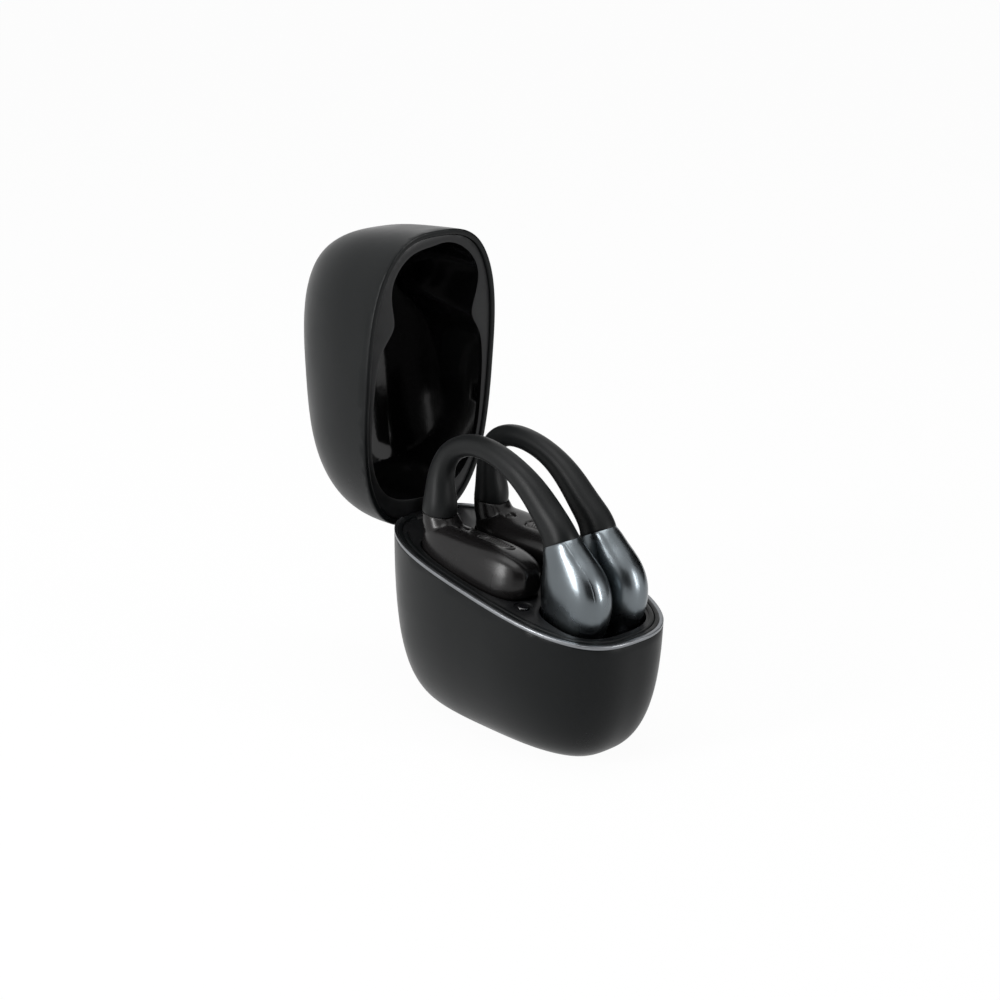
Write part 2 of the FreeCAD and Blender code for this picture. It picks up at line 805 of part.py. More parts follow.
def pin_plunger(x, y):
    """Sprung plunger of one charging pin."""
    tip = battery_stations[-1][1] - pad_gap
    low = board_bottom + board_thickness + barrel_floor + spring_room
    plunger = Part.makeCylinder(plunger_radius, tip - low, V(x, y, low))
    upper_edges = [edge for edge in plunger.Edges if edge.BoundBox.ZMin > (tip + low) / 2.0]
    return plunger.makeFillet(plunger_rounding, upper_edges)


def case_cell():
    """Rechargeable cell on the floor of the base."""
    return centred_box(cell_block, 0.0, cell_centre_y, base_wall + cell_pad[2])


def foam_pad():
    """Pad that the cell sits on."""
    return centred_box(cell_pad, 0.0, cell_centre_y, base_wall)


# ---------------------------------------------------------------- whole model
def build():
    """Every node of the model, by name."""
    outer = case_body(0.0)
    inner = case_body(base_wall)
    nodes = {
        "base_shell": base_shell(outer, inner),
        "trim_ring": trim_ring(outer),
        "cradle_tray": cradle_tray(),
        "hinge_pin": hinge_pin(),
        "case_magnets": rim_magnets(-deck_drop - deck_thickness - magnet_thickness - magnet_gap),
        "case_battery": case_cell(),
        "battery_pad": foam_pad(),
        "case_circuit_board": circuit_board(),
        "board_screws": board_screws(),
        "usb_c_shell": socket_shell(),
        "usb_c_tongue": socket_tongue(),
        "charging_pin_block": pin_block(),
        "charging_pin_barrels": pin_barrels(),
        "pairing_button": pairing_button(),
        "pairing_switch": pairing_switch(),
        "lid_shell": swing_open(lid_shell(outer)),
        "lid_liner": swing_open(lid_liner()),
        "lid_hinge_arm": swing_open(lid_hinge_arm()),
        "lid_magnets": swing_open(rim_magnets(lid_magnet_level())),
    }
    for name, place in zip(("left_rear", "left_front", "right_rear", "right_front"), pin_places()):
        nodes["charging_pin_" + name] = pin_plunger(*place)
    for name, shape in earbud().items():
        left, right = both_sides(shape)
        nodes["left_" + name] = left
        nodes["right_" + name] = right
    return nodes


def main():
    """Write one STEP file for each node."""
    os.makedirs("parts", exist_ok=True)
    for name, shape in build().items():
        solids = shape.Solids
        if not shape.isValid() or not solids:
            print("PROBLEM", name, shape.isValid(), len(solids))
        print(name, len(solids), round(shape.Volume, 1), len(shape.Faces))
        whole = solids[0] if len(solids) == 1 else Part.makeCompound(solids)
        whole.exportStep(os.path.join("parts", name + ".step"))


main()
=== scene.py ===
"""Looks of a pair of open-ear hook earbuds in their open charging case.

Metres, +Z up, +Y towards the lid hinge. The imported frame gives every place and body.
"""
import json
import logging
import math
from dataclasses import dataclass, field
from enum import Enum
from typing import Callable, Iterable

import bmesh
import bpy
from mathutils import Matrix, Quaternion, Vector


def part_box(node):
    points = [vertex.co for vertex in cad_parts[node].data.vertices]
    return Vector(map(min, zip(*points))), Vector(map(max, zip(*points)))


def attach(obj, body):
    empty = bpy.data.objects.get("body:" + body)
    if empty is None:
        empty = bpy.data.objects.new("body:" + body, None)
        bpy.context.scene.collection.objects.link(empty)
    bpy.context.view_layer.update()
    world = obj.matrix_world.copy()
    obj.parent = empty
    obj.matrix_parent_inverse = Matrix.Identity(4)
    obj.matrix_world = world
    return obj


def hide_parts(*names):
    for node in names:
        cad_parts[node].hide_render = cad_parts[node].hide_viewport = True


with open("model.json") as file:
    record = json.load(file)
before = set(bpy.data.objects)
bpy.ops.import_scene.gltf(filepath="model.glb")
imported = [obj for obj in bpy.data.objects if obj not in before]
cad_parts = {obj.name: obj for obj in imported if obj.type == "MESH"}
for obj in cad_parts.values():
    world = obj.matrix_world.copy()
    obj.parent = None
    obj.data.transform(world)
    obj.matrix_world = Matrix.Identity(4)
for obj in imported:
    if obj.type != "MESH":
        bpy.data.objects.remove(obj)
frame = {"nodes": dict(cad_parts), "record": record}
log = logging.getLogger("earbud_case")

MM = 0.001

# meshes: reach that welds a node's loose triangles, and that merges doubled points of new pieces
WELD = 0.008 * MM
MERGE = 0.001 * MM
BROKEN_EDGE_ANGLE = math.radians(32.0)
EDGE_SEGMENTS = 2
PILL_STEPS = 48

# finishes: layers of each noise, the part of its range in use, and where the painted highlight on
# convex edges begins and ends
GRAIN_DETAIL = 2.0
CLOUD_DETAIL = 3.0
NOISE_IN_USE = (0.3, 0.7)
HIGHLIGHT_EDGE = (0.55, 0.75)
EQUAL_SHARE = 0.5
UNSTRETCHED = (1.0, 1.0, 1.0)

# tilt of the seam between base and lid, higher at the hinge
SEAM_TILT = math.radians(10.26)


class Body(str, Enum):
    """Bodies of the frame that new pieces ride on."""

    BASE = "base"
    LID = "lid"
    LEFT = "left_earbud"
    RIGHT = "right_earbud"
    BUTTON = "pairing_button"


class Slot(str, Enum):
    """Material slots of the record."""

    SHELL = "shell_matte_black"
    TRIM = "gunmetal_trim"
    DECK = "deck_black"
    LINER = "liner_black"
    STEEL = "steel"
    MAGNET = "magnet_nickel"
    CELL = "cell_foil"
    FOAM = "foam_black"
    BOARD = "board_green"
    GOLD = "gold_contact"
    BUTTON = "button_gloss"
    POD = "pod_satin_black"
    GRILLE = "grille_dark"
    SILICONE = "silicone_black"
    METALLIC = "pod_metallic_grey"


@dataclass(frozen=True)
class Finish:
    """One moulded, painted or metal surface with its grain and its uneven sheen."""

    name: str
    color: tuple[float, float, float]
    roughness: float
    metallic: float = 0.0
    specular: float = 0.5
    coat: float = 0.0
    coat_roughness: float = 0.1
    sheen: float = 0.0
    grain: float = 0.25 * MM
    grain_depth: float = 0.01 * MM
    stretch: tuple[float, float, float] = UNSTRETCHED
    cloud: float = 12.0 * MM
    cloud_roughness: float = 0.06
    cloud_color: float = 0.15
    # colour added on convex edges: a painted highlight
    edge_highlight: float = 0.0

    def make(self) -> bpy.types.Material:
        """Build the node material.

        Returns:
            The finished material.
        """
        material = bpy.data.materials.new(self.name)
        material.use_nodes = True
        tree = material.node_tree
        shader = tree.nodes["Principled BSDF"]
        shader.inputs["Metallic"].default_value = self.metallic
        shader.inputs["Specular IOR Level"].default_value = self.specular
        shader.inputs["Coat Weight"].default_value = self.coat
        shader.inputs["Coat Roughness"].default_value = self.coat_roughness
        shader.inputs["Sheen Weight"].default_value = self.sheen
        place = tree.nodes.new("ShaderNodeTexCoord").outputs["Object"]
        grain = self._noise(tree, place, self.grain, GRAIN_DETAIL, self.stretch)
        cloud = self._noise(tree, place, self.cloud, CLOUD_DETAIL, UNSTRETCHED)
        self._spread(tree, cloud, shader.inputs["Roughness"],
                     self.roughness - self.cloud_roughness, self.roughness + self.cloud_roughness)
        color = self._tint(tree, grain, cloud)
        tree.links.new(color, shader.inputs["Base Color"])
        bump = tree.nodes.new("ShaderNodeBump")
        bump.inputs["Strength"].default_value = 1.0
        bump.inputs["Distance"].default_value = self.grain_depth
        tree.links.new(grain, bump.inputs["Height"])
        tree.links.new(bump.outputs["Normal"], shader.inputs["Normal"])
        return material

    @staticmethod
    def _noise(tree: bpy.types.NodeTree, place: bpy.types.NodeSocket, size: float, detail: float,
               stretch: tuple[float, float, float]) -> bpy.types.NodeSocket:
        """Add a noise whose features have a given size.

        Args:
            tree: Node tree of the material.
            place: Socket with the coordinates.
            size: Size of a feature in metres.
            detail: Finer layers of the noise.
            stretch: Factors that squeeze the pattern along each axis.

        Returns:
            The noise value's socket.
        """
        mapping = tree.nodes.new("ShaderNodeMapping")
        mapping.inputs["Scale"].default_value = stretch
        noise = tree.nodes.new("ShaderNodeTexNoise")
        noise.inputs["Scale"].default_value = 1.0 / size
        noise.inputs["Detail"].default_value = detail
        tree.links.new(place, mapping.inputs["Vector"])
        tree.links.new(mapping.outputs["Vector"], noise.inputs["Vector"])
        return noise.outputs["Fac"]

    @staticmethod
    def _spread(tree: bpy.types.NodeTree, value: bpy.types.NodeSocket, target: bpy.types.NodeSocket,
                low: float, high: float) -> None:
        """Spread a noise value over a range and feed it to a socket.

        Args:
            tree: Node tree of the material.
            value: Noise value.
            target: Socket that takes the result.
            low: Result for the darkest noise.
            high: Result for the brightest noise.
        """
        spread = tree.nodes.new("ShaderNodeMapRange")
        spread.inputs["From Min"].default_value = NOISE_IN_USE[0]
        spread.inputs["From Max"].default_value = NOISE_IN_USE[1]
        spread.inputs["To Min"].default_value = low
        spread.inputs["To Max"].default_value = high
        tree.links.new(value, spread.inputs["Value"])
        tree.links.new(spread.outputs["Result"], target)

    def _tint(self, tree: bpy.types.NodeTree, grain: bpy.types.NodeSocket,
              cloud: bpy.types.NodeSocket) -> bpy.types.NodeSocket:
        """Colour with slow clouding, fine grain and, where asked, a painted highlight that lightens
        convex edges.

        Args:
            tree: Node tree of the material.
            grain: Fine noise.
            cloud: Slow noise.

        Returns:
            The colour's socket.
        """
        dark = tuple(part * (1.0 - self.cloud_color) for part in self.color)
        light = tuple(min(1.0, part * (1.0 + self.cloud_color)) for part in self.color)
        blend = tree.nodes.new("ShaderNodeMix")
        blend.data_type = "RGBA"
        blend.inputs["A"].default_value = (*dark, 1.0)
        blend.inputs["B"].default_value = (*light, 1.0)
        joined = tree.nodes.new("ShaderNodeMath")
        joined.operation = "MULTIPLY_ADD"
        joined.inputs[1].default_value = EQUAL_SHARE
        halved = tree.nodes.new("ShaderNodeMath")
        halved.operation = "MULTIPLY"
        halved.inputs[1].default_value = EQUAL_SHARE
        tree.links.new(grain, halved.inputs[0])
        tree.links.new(cloud, joined.inputs[0])
        tree.links.new(halved.outputs["Value"], joined.inputs[2])
        self._spread(tree, joined.outputs["Value"], blend.inputs["Factor"], 0.0, 1.0)
        # painted highlight: convex edges, found by pointiness, are lighter
        if not self.edge_highlight:
            return blend.outputs["Result"]
        geometry = tree.nodes.new("ShaderNodeNewGeometry")
        highlighted = tree.nodes.new("ShaderNodeMix")
        highlighted.data_type = "RGBA"
        highlighted.inputs["B"].default_value = (*[min(1.0, part + self.edge_highlight) for part in self.color], 1.0)
        edge = tree.nodes.new("ShaderNodeMapRange")
        edge.inputs["From Min"].default_value = HIGHLIGHT_EDGE[0]
        edge.inputs["From Max"].default_value = HIGHLIGHT_EDGE[1]
        tree.links.new(geometry.outputs["Pointiness"], edge.inputs["Value"])
        tree.links.new(edge.outputs["Result"], highlighted.inputs["Factor"])
        tree.links.new(blend.outputs["Result"], highlighted.inputs["A"])
        return highlighted.outputs["Result"]


FINISHES: dict[Slot, Finish] = {
    # the shell's convex edges get a painted highlight
    Slot.SHELL: Finish("shell_matte_black", (0.004, 0.0047, 0.005), 0.33, specular=0.14,
                       grain=0.22 * MM, grain_depth=0.012 * MM, cloud=15 * MM, edge_highlight=0.01),
    Slot.TRIM: Finish("gunmetal_trim", (0.22, 0.228, 0.24), 0.34, metallic=1.0,
                      grain=0.5 * MM, grain_depth=0.004 * MM, stretch=(1.0, 1.0, 12.0)),
    Slot.DECK: Finish("deck_black", (0.006, 0.0063, 0.0068), 0.4, specular=0.25,
                      grain=0.18 * MM, grain_depth=0.012 * MM),
    Slot.LINER: Finish("liner_gloss", (0.004, 0.0041, 0.0045), 0.12, specular=0.35, coat=0.25,
                       coat_roughness=0.05, grain=3.0 * MM, grain_depth=0.01 * MM,
                       cloud_roughness=0.03),
    Slot.STEEL: Finish("steel", (0.52, 0.53, 0.55), 0.28, metallic=1.0,
                       grain=0.3 * MM, grain_depth=0.004 * MM, stretch=(0.2, 1.0, 1.0)),
    Slot.MAGNET: Finish("magnet_nickel", (0.62, 0.62, 0.6), 0.16, metallic=1.0,
                        grain=0.4 * MM, grain_depth=0.003 * MM),
    Slot.CELL: Finish("cell_foil", (0.5, 0.52, 0.55), 0.4, metallic=0.8,
                      grain=0.8 * MM, grain_depth=0.02 * MM),
    Slot.FOAM: Finish("foam_black", (0.03, 0.03, 0.031), 0.9, specular=0.2, sheen=0.1,
                      grain=0.3 * MM, grain_depth=0.06 * MM),
    Slot.BOARD: Finish("board_green", (0.012, 0.11, 0.05), 0.32, grain=0.6 * MM,
                       grain_depth=0.006 * MM),
    Slot.GOLD: Finish("gold_contact", (0.83, 0.6, 0.26), 0.22, metallic=1.0,
                      grain=0.2 * MM, grain_depth=0.003 * MM),
    Slot.BUTTON: Finish("button_gloss", (0.006, 0.006, 0.007), 0.16, coat=0.5,
                        grain=0.3 * MM, grain_depth=0.002 * MM),
    Slot.POD: Finish("pod_satin_black", (0.006, 0.0055, 0.0056), 0.24, specular=0.25, coat=0.04,
                     coat_roughness=0.22, grain=0.12 * MM, grain_depth=0.004 * MM),
    Slot.GRILLE: Finish("grille_dark", (0.09, 0.088, 0.088), 0.36, metallic=0.9,
                        grain=0.1 * MM, grain_depth=0.006 * MM),
    Slot.SILICONE: Finish("silicone_black", (0.005, 0.0056, 0.0058), 0.42, specular=0.15,
                          sheen=0.02, grain=0.1 * MM, grain_depth=0.008 * MM, cloud=8 * MM),
    Slot.METALLIC: Finish("pod_metallic_grey", (0.14, 0.158, 0.17), 0.28, metallic=1.0, coat=0.1,
                          coat_roughness=0.2, grain=0.06 * MM, grain_depth=0.003 * MM,
                          cloud_color=0.2),
}


@dataclass
class Workshop:
    """Keeps the made finishes and turns bmeshes into finished pieces."""

    made: dict[Slot, bpy.types.Material] = field(default_factory=dict)

    def finish(self, slot: Slot) -> bpy.types.Material:
        """Material of a slot, made once.

        Args:
            slot: Slot of the record.

        Returns:
            The slot's material.
        """
        if slot not in self.made:
            self.made[slot] = FINISHES[slot].make()
        return self.made[slot]

    def piece(self, mesh: bmesh.types.BMesh, name: str, body: Body, slot: Slot,
              replaced: tuple[str, ...] = ()) -> bpy.types.Object:
        """Turn a bmesh into a smooth piece that rides on a body.

        Args:
            mesh: Shape in the frame's own metres.
            name: Name of the piece.
            body: Body it moves with.
            slot: Slot of its finish.
            replaced: Nodes that the piece stands for.

        Returns:
            The new object.
        """
        for face in mesh.faces:
            face.smooth = True
        data = bpy.data.meshes.new(name)
        mesh.to_mesh(data)
        mesh.free()
        piece = bpy.data.objects.new(name, data)
        bpy.context.scene.collection.objects.link(piece)
        data.materials.append(self.finish(slot))
        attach(piece, body.value)
        if replaced:
            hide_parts(*replaced)
        log.info("%s: %d faces on %s", name, len(data.polygons), body.value)
        return piece

    def softened(self, node: str, body: Body, slot: Slot, width: float) -> bpy.types.Object:
        """Copy a node with its edges broken by a small rounded bevel.

        Args:
            node: Node of the frame.
            body: Body it moves with.
            slot: Slot of its finish.
            width: Width of the bevel in metres.

        Returns:
            The piece that stands for the node.
        """
        mesh = bmesh.new()
        mesh.from_mesh(frame["nodes"][node].data)
        bmesh.ops.remove_doubles(mesh, verts=mesh.verts, dist=WELD)
        bmesh.ops.dissolve_degenerate(mesh, edges=mesh.edges, dist=WELD)
        piece = self.piece(mesh, node + "_finished", body, slot, (node,))
        bevel = piece.modifiers.new("broken_edges", "BEVEL")
        bevel.width = width
        bevel.segments = EDGE_SEGMENTS
        bevel.limit_method = "ANGLE"
        bevel.angle_limit = BROKEN_EDGE_ANGLE
        bevel.harden_normals = True
        return piece


def wrapped(steps: int, levels: list[tuple[float, float]],
            shape: Callable[[Vector, float, float], Vector]) -> bmesh.types.BMesh:
    """Extrude a closed loop from level to level.

    Args:
        steps: Points in the loop.
        levels: Two sizes for each level; a last level like the first closes the skin.
        shape: Gives a point's place from its direction on a unit circle and the level's sizes.

    Returns:
        The skin as a bmesh.
    """
    mesh = bmesh.new()
    bmesh.ops.create_circle(mesh, segments=steps, radius=1.0)
    loop = mesh.edges[:]
    fresh = mesh.verts[:]
    turns = {tuple(vert.co): vert.co.copy() for vert in fresh}
    for index, level in enumerate(levels):
        if index:
            made = bmesh.ops.extrude_edge_only(mesh, edges=loop)["geom"]
            fresh = [item for item in made if isinstance(item, bmesh.types.BMVert)]
            loop = [item for item in made if isinstance(item, bmesh.types.BMEdge)
                    and all(vert in fresh for vert in item.verts)]
        placed = {}
        for vert in fresh:
            turn = turns[tuple(vert.co)]
            vert.co = shape(turn, *level)
            placed[tuple(vert.co)] = turn
        turns = placed
    bmesh.ops.remove_doubles(mesh, verts=mesh.verts, dist=MERGE)
    return mesh


def pill_stack(straight: float, levels: list[tuple[float, float]]) -> bmesh.types.BMesh:
    """Closed stack of pill-shaped loops that are long along Y.

    Args:
        straight: Half of the pill's straight stretch.
        levels: Radius of the ends and height of each loop.

    Returns:
        The pill as a bmesh.
    """
    def shape(turn: Vector, radius: float, height: float) -> Vector:
        """Point of the pill's outline in a direction."""
        along = turn.y * radius + math.copysign(straight, turn.y)
        return Vector((turn.x * radius, along, height))

    mesh = wrapped(PILL_STEPS, levels, shape)
    ends = [edge for edge in mesh.edges if edge.is_boundary]
    bmesh.ops.edgeloop_fill(mesh, edges=ends)
    return mesh


@dataclass
class ChargingCase:
    """Base of the case: shell, trim, deck, gasket lip and pairing button."""

    shop: Workshop
    seam_height: float = 34.6 * MM
    seam_tilt: float = SEAM_TILT
    half_width: float = 17.9 * MM
    half_length: float = 33.0 * MM
    outline_power: float = 2.87
    outline_steps: int = 144
    lip_outer: float = 1.78 * MM
    lip_inner: float = 2.85 * MM
    lip_top: float = -0.16 * MM
    lip_bottom: float = -0.40 * MM
    lip_edge: float = 0.12 * MM
    lip_end: float = 26.0 * MM
    button_radius: float = 1.2 * MM
    button_depth: float = 2.0 * MM
    button_steps: int = 48
    # share of the radius and drop below the rim, from the middle of the dish to the side
    button_crown: tuple[tuple[float, float], ...] = (
        (0.0, 0.08 * MM), (0.45, 0.06 * MM), (0.7, 0.0),
        (0.86, 0.06 * MM), (0.97, 0.25 * MM), (1.0, 0.5 * MM))
    shell_edge: float = 0.18 * MM
    trim_edge: float = 0.1 * MM
    tray_edge: float = 0.22 * MM

    def seam_point(self, x: float, y: float, above: float) -> Vector:
        """Point a distance above the seam.

        Args:
            x: Place across the case.
            y: Place along the case.
            above: Distance square to the seam.

        Returns:
            The point.
        """
        rise = y * math.tan(self.seam_tilt) + above / math.cos(self.seam_tilt)
        return Vector((x, y, self.seam_height + rise))

    def outline_point(self, turn: Vector, inset: float, above: float) -> Vector:
        """Point of the case's outline in the seam.

        Args:
            turn: Direction on a unit circle.
            inset: Distance in from the case's outside.
            above: Distance above the seam.

        Returns:
            The point.
        """
        size = abs(turn.x) ** self.outline_power + abs(turn.y) ** self.outline_power
        size = size ** (-1.0 / self.outline_power)
        return self.seam_point(turn.x * size * (self.half_width - inset),
                               turn.y * size * (self.half_length - inset), above)

    def gasket_lip(self) -> bpy.types.Object:
        """Raised lip that runs round the deck just inside the wall, open at the hinge.

        Returns:
            The lip.
        """
        middle = (self.lip_top + self.lip_bottom) / 2.0
        start = (self.lip_outer, self.lip_bottom)
        levels = [start, (self.lip_outer, middle), (self.lip_outer + self.lip_edge, self.lip_top),
                  (self.lip_inner - self.lip_edge, self.lip_top), (self.lip_inner, middle),
                  (self.lip_inner, self.lip_bottom), start]
        mesh = wrapped(self.outline_steps, levels, self.outline_point)
        everything = mesh.verts[:] + mesh.edges[:] + mesh.faces[:]
        cut = bmesh.ops.bisect_plane(mesh, geom=everything, plane_co=(0, self.lip_end, 0),
                                     plane_no=(0, 1, 0), clear_outer=True)
        ends = [edge for edge in cut["geom_cut"] if isinstance(edge, bmesh.types.BMEdge)]
        bmesh.ops.edgeloop_fill(mesh, edges=ends)
        bmesh.ops.recalc_face_normals(mesh, faces=mesh.faces)
        return self.shop.piece(mesh, "gasket_lip", Body.BASE, Slot.SHELL)

    def button(self) -> bpy.types.Object:
        """Domed pairing button with a dished top.

        Returns:
            The button's cap.
        """
        low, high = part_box("pairing_button")
        radius = self.button_radius
        profile = [(share * radius, -drop) for share, drop in self.button_crown]
        profile += [(radius, -self.button_depth), (0.0, -self.button_depth)]
        mesh = bmesh.new()
        verts = [mesh.verts.new((x, 0, z)) for x, z in profile]
        edges = [mesh.edges.new(pair) for pair in zip(verts, verts[1:])]
        bmesh.ops.spin(mesh, geom=verts + edges, cent=(0, 0, 0), axis=(0, 0, 1), dvec=(0, 0, 0),
                       angle=math.tau, steps=self.button_steps, use_merge=True, use_duplicate=False)
        bmesh.ops.remove_doubles(mesh, verts=mesh.verts, dist=MERGE)
        bmesh.ops.recalc_face_normals(mesh, faces=mesh.faces)
        turn = Matrix.Rotation(self.seam_tilt, 4, "X")
        top_y = low.y + radius * math.cos(self.seam_tilt)
        place = Vector(((low.x + high.x) / 2.0, top_y, high.z - radius * math.sin(self.seam_tilt)))
        bmesh.ops.transform(mesh, matrix=Matrix.Translation(place) @ turn, verts=mesh.verts)
        return self.shop.piece(mesh, "pairing_button_cap", Body.BUTTON, Slot.BUTTON,
                               ("pairing_button",))

    def build(self) -> None:
        """Make every piece of the base."""
        self.shop.softened("base_shell", Body.BASE, Slot.SHELL, self.shell_edge)
        self.shop.softened("trim_ring", Body.BASE, Slot.TRIM, self.trim_edge)
        self.shop.softened("cradle_tray", Body.BASE, Slot.DECK, self.tray_edge)
        self.gasket_lip()
        self.button()


@dataclass
class Lid:
    """Lid of the case: shell and two-finish liner."""

    shop: Workshop
    lid_angle: float = math.radians(93.7)
    seam_tilt: float = SEAM_TILT
    shell_edge: float = 0.25 * MM
    liner_edge: float = 0.2 * MM
    # a face belongs to the flange where it looks out of the mouth to within this cosine
    flange_facing: float = 0.98

    def liner(self) -> bpy.types.Object:
        """Liner whose flange is satin and whose hollow is glossy.

        Returns:
            The liner.
        """
        piece = self.shop.softened("lid_liner", Body.LID, Slot.LINER, self.liner_edge)
        piece.data.materials.append(self.shop.finish(Slot.DECK))
        satin = len(piece.data.materials) - 1
        turn = self.seam_tilt - self.lid_angle
        out_of_mouth = Vector((0.0, math.sin(turn), -math.cos(turn)))
        for face in piece.data.polygons:
            if face.normal.dot(out_of_mouth) > self.flange_facing:
                face.material_index = satin
        return piece

    def build(self) -> None:
        """Make every piece of the lid."""
        self.shop.softened("lid_shell", Body.LID, Slot.SHELL, self.shell_edge)
        self.liner()


@dataclass
class Earbud:
    """One earbud: pods, hook and grille."""

    shop: Workshop
    body: Body
    side: str
    face_tilt: float = math.radians(10.0)
    grille_length: float = 10.0 * MM
    grille_width: float = 3.2 * MM
    grille_depth: float = 0.5 * MM
    frame_width: float = 0.38 * MM
    rib_count: int = 11
    rib_width: float = 0.28 * MM
    rib_height: float = 0.22 * MM
    rib_drop: float = 0.16 * MM
    rib_turn: float = math.radians(32.0)
    rib_share: float = 0.92
    rib_edge: float = 0.05 * MM
    frame_edge: float = 0.08 * MM
    hook_edge: float = 0.15 * MM
    battery_pod_edge: float = 0.12 * MM
    pod_voxel: float = 0.22 * MM
    pod_polish: int = 4
    polish_pull: float = 0.5
    fillet_setback: float = 8.5 * MM
    fillet_drop: float = 3.2 * MM
    fillet_reach: float = 3.2 * MM
    fillet_polish: int = 40

    def face_matrix(self, node: str) -> Matrix:
        """Frame of the speaker's upper face at the middle of a node.

        Args:
            node: Name of the node without its side.

        Returns:
            Matrix from the face's own axes to the frame.
        """
        low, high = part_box(self.side + "_" + node)
        sign = 1.0 if self.body is Body.LEFT else -1.0
        return Matrix.Translation((low + high) / 2.0) @ Matrix.Rotation(sign * self.face_tilt, 4, "Y")

    def _skin(self, nodes: tuple[str, ...]) -> bmesh.types.BMesh:
        """Cover nodes with one even skin.

        Args:
            nodes: Nodes that the skin covers.

        Returns:
            The skin as a bmesh.
        """
        mesh = bmesh.new()
        for node in nodes:
            mesh.from_mesh(frame["nodes"][node].data)
        bmesh.ops.remove_doubles(mesh, verts=mesh.verts, dist=WELD)
        rough = bpy.data.meshes.new(self.side + "_speaker_rough")
        mesh.to_mesh(rough)
        mesh.free()
        carrier = bpy.data.objects.new(self.side + "_speaker_rough", rough)
        bpy.context.scene.collection.objects.link(carrier)
        skin = carrier.modifiers.new("skin", "REMESH")
        skin.mode = "VOXEL"
        skin.voxel_size = self.pod_voxel
        bpy.context.view_layer.update()
        depsgraph = bpy.context.evaluated_depsgraph_get()
        mesh = bmesh.new()
        mesh.from_mesh(carrier.evaluated_get(depsgraph).to_mesh())
        bpy.data.objects.remove(carrier)
        return mesh

    def _polish(self, mesh: bmesh.types.BMesh, verts: Iterable[bmesh.types.BMVert],
                rounds: int) -> None:
        """Smooth some points of a skin.

        Args:
            mesh: Skin that holds the points.
            verts: Points that are smoothed.
            rounds: How often they are smoothed.
        """
        for _ in range(rounds):
            bmesh.ops.smooth_vert(mesh, verts=verts, factor=self.polish_pull, use_axis_x=True,
                                  use_axis_y=True, use_axis_z=True)

    def speaker_pod(self) -> bpy.types.Object:
        """Speaker pod and its neck, blended by a soft fillet where they meet.

        Returns:
            The pod.
        """
        nodes = (self.side + "_speaker_housing", self.side + "_speaker_cover")
        mesh = self._skin(nodes)
        low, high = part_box(nodes[0])
        x = (low.x + high.x) / 2.0
        fillet = Vector((x, high.y - self.fillet_setback, high.z - self.fillet_drop))
        self._polish(mesh, mesh.verts, self.pod_polish)
        near = [vert for vert in mesh.verts if (vert.co - fillet).length < self.fillet_reach]
        self._polish(mesh, near, self.fillet_polish)
        return self.shop.piece(mesh, self.side + "_speaker_pod", self.body, Slot.POD, nodes)

    def grille(self) -> bpy.types.Object:
        """Pill-shaped grille: a rounded frame round slanting ribs on a plate.

        Returns:
            The grille.
        """
        half = self.grille_depth / 2.0
        length, width, rim = self.grille_length, self.grille_width, self.frame_width
        straight = (length - width) / 2.0
        levels = ((0.0, -half), (0.0, half - self.frame_edge), (self.frame_edge, half),
                  (rim, half), (rim + self.frame_edge, half - self.rib_drop * 2.0))
        mesh = pill_stack(straight, [(width / 2.0 - inset, height) for inset, height in levels])
        pitch = (length - width + rim) / (self.rib_count - 1)
        rib_length = (width - 2 * rim) / math.cos(self.rib_turn) * self.rib_share
        for step in range(self.rib_count):
            place = Vector((0, (step - (self.rib_count - 1) / 2.0) * pitch, half - self.rib_drop))
            scale = Matrix.Diagonal((rib_length, self.rib_width, self.rib_height, 1.0))
            rib = bmesh.ops.create_cube(mesh, size=1.0, matrix=Matrix.Translation(place)
                                        @ Matrix.Rotation(self.rib_turn, 4, "Z") @ scale)
            edges = {edge for vert in rib["verts"] for edge in vert.link_edges}
            bmesh.ops.bevel(mesh, geom=list(edges), offset=self.rib_edge, segments=EDGE_SEGMENTS,
                            profile=0.5, affect="EDGES", material=-1)
        bmesh.ops.recalc_face_normals(mesh, faces=mesh.faces)
        bmesh.ops.transform(mesh, matrix=self.face_matrix("speaker_grille"), verts=mesh.verts)
        return self.shop.piece(mesh, self.side + "_grille_ribs", self.body, Slot.GRILLE,
                               (self.side + "_speaker_grille",))

    def build(self) -> None:
        """Make every piece of the earbud."""
        self.speaker_pod()
        self.shop.softened(self.side + "_ear_hook", self.body, Slot.SILICONE, self.hook_edge)
        for half in ("shell", "cover"):
            self.shop.softened(f"{self.side}_battery_pod_{half}", self.body, Slot.METALLIC,
                               self.battery_pod_edge)
        self.grille()


@dataclass(frozen=True)
class Flag:
    """Black panel that keeps the side facing it dark."""

    name: str
    place: tuple[float, float, float]
    half_side: float


@dataclass(frozen=True)
class Softbox:
    """Rectangular lamp with its width and height, and its power in watts."""

    name: str
    place: tuple[float, float, float]
    size: tuple[float, float]
    power: float


